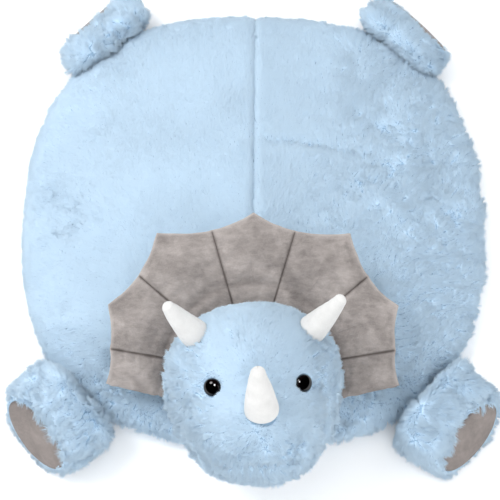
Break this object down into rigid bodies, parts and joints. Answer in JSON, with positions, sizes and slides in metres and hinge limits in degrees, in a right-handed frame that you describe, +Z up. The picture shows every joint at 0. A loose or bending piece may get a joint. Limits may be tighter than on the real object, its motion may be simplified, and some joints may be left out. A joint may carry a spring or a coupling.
{
  "type": "plush triceratops play mat",
  "caption": "Round padded plush play mat with a stuffed horned dinosaur head on its front edge, a quilted frill behind the head and stuffed feet with velour soles.",
  "frame": {"origin": "centre of the bounding box at floor level, under the underside of the mat", "axes": "+Z up from the floor, +Y from the head towards the hind feet, +X towards the left side of the toy"},
  "size_m": [0.6944, 0.7989, 0.3003],
  "materials": {
    "blue_plush": "long-pile light blue plush, brushed on one side and clumped like sherpa on the other",
    "underside_fabric": "short-nap light blue velour",
    "grey_velour": "warm grey short-nap velour, quilted, with brushed marks",
    "sole_velour": "grey-brown short-nap velour",
    "white_felt": "smooth cream-white brushed felt",
    "stuffing": "white polyester fibre",
    "eye_plastic": "polished black, with a dark brown iris under a clear dome",
    "washer_plastic": "moulded off-white"
  },
  "bodies": {
    "mat": {"mat_top_left": "blue_plush", "mat_top_right": "blue_plush", "mat_underside": "underside_fabric", "mat_batting": "stuffing"},
    "head": {"head_side_left": "blue_plush", "head_side_right": "blue_plush", "head_gusset": "blue_plush", "head_chin_panel": "blue_plush", "head_back_panel": "blue_plush", "head_stuffing": "stuffing", "eye_left": "eye_plastic", "eye_right": "eye_plastic", "eye_washer_left": "washer_plastic", "eye_washer_right": "washer_plastic", "nose_horn": "white_felt", "nose_horn_stuffing": "stuffing", "brow_horn_left": "white_felt", "brow_horn_left_stuffing": "stuffing", "brow_horn_right": "white_felt", "brow_horn_right_stuffing": "stuffing"},
    "frill": {"frill_front": "grey_velour", "frill_back": "grey_velour", "frill_pad_1": "stuffing", "frill_pad_2": "stuffing", "frill_pad_3": "stuffing", "frill_pad_4": "stuffing", "frill_pad_5": "stuffing", "frill_pad_6": "stuffing", "frill_pad_7": "stuffing"},
    "foot_front_left": {"foot_front_left_cover": "blue_plush", "foot_front_left_sole": "sole_velour", "foot_front_left_stuffing": "stuffing"},
    "foot_front_right": {"foot_front_right_cover": "blue_plush", "foot_front_right_sole": "sole_velour", "foot_front_right_stuffing": "stuffing"},
    "foot_hind_left": {"foot_hind_left_cover": "blue_plush", "foot_hind_left_sole": "sole_velour", "foot_hind_left_stuffing": "stuffing"},
    "foot_hind_right": {"foot_hind_right_cover": "blue_plush", "foot_hind_right_sole": "sole_velour", "foot_hind_right_stuffing": "stuffing"}
  },
  "joints": [
    {"name": "head_lift", "type": "hinge", "parent": "mat", "child": "head", "pos_m": [0, -0.186, 0.0423], "axis": [-1, 0, 0], "range_deg": [0, 20]},
    {"name": "frill_fold", "type": "hinge", "parent": "head", "child": "frill", "pos_m": [0, -0.243, 0.126], "axis": [1, 0, 0], "range_deg": [0, 28]},
    {"name": "foot_front_left_lift", "type": "hinge", "parent": "mat", "child": "foot_front_left", "pos_m": [0.24, -0.252, 0.038], "axis": [-0.6561, -0.7547, 0], "range_deg": [0, 35]},
    {"name": "foot_front_right_lift", "type": "hinge", "parent": "mat", "child": "foot_front_right", "pos_m": [-0.24, -0.252, 0.038], "axis": [-0.6561, 0.7547, 0], "range_deg": [0, 35]},
    {"name": "foot_hind_left_lift", "type": "hinge", "parent": "mat", "child": "foot_hind_left", "pos_m": [0.2121, 0.3136, 0.04], "axis": [0.7193, -0.6947, 0], "range_deg": [0, 35]},
    {"name": "foot_hind_right_lift", "type": "hinge", "parent": "mat", "child": "foot_hind_right", "pos_m": [-0.2121, 0.3136, 0.04], "axis": [0.7193, 0.6947, 0], "range_deg": [0, 35]}
  ]
}
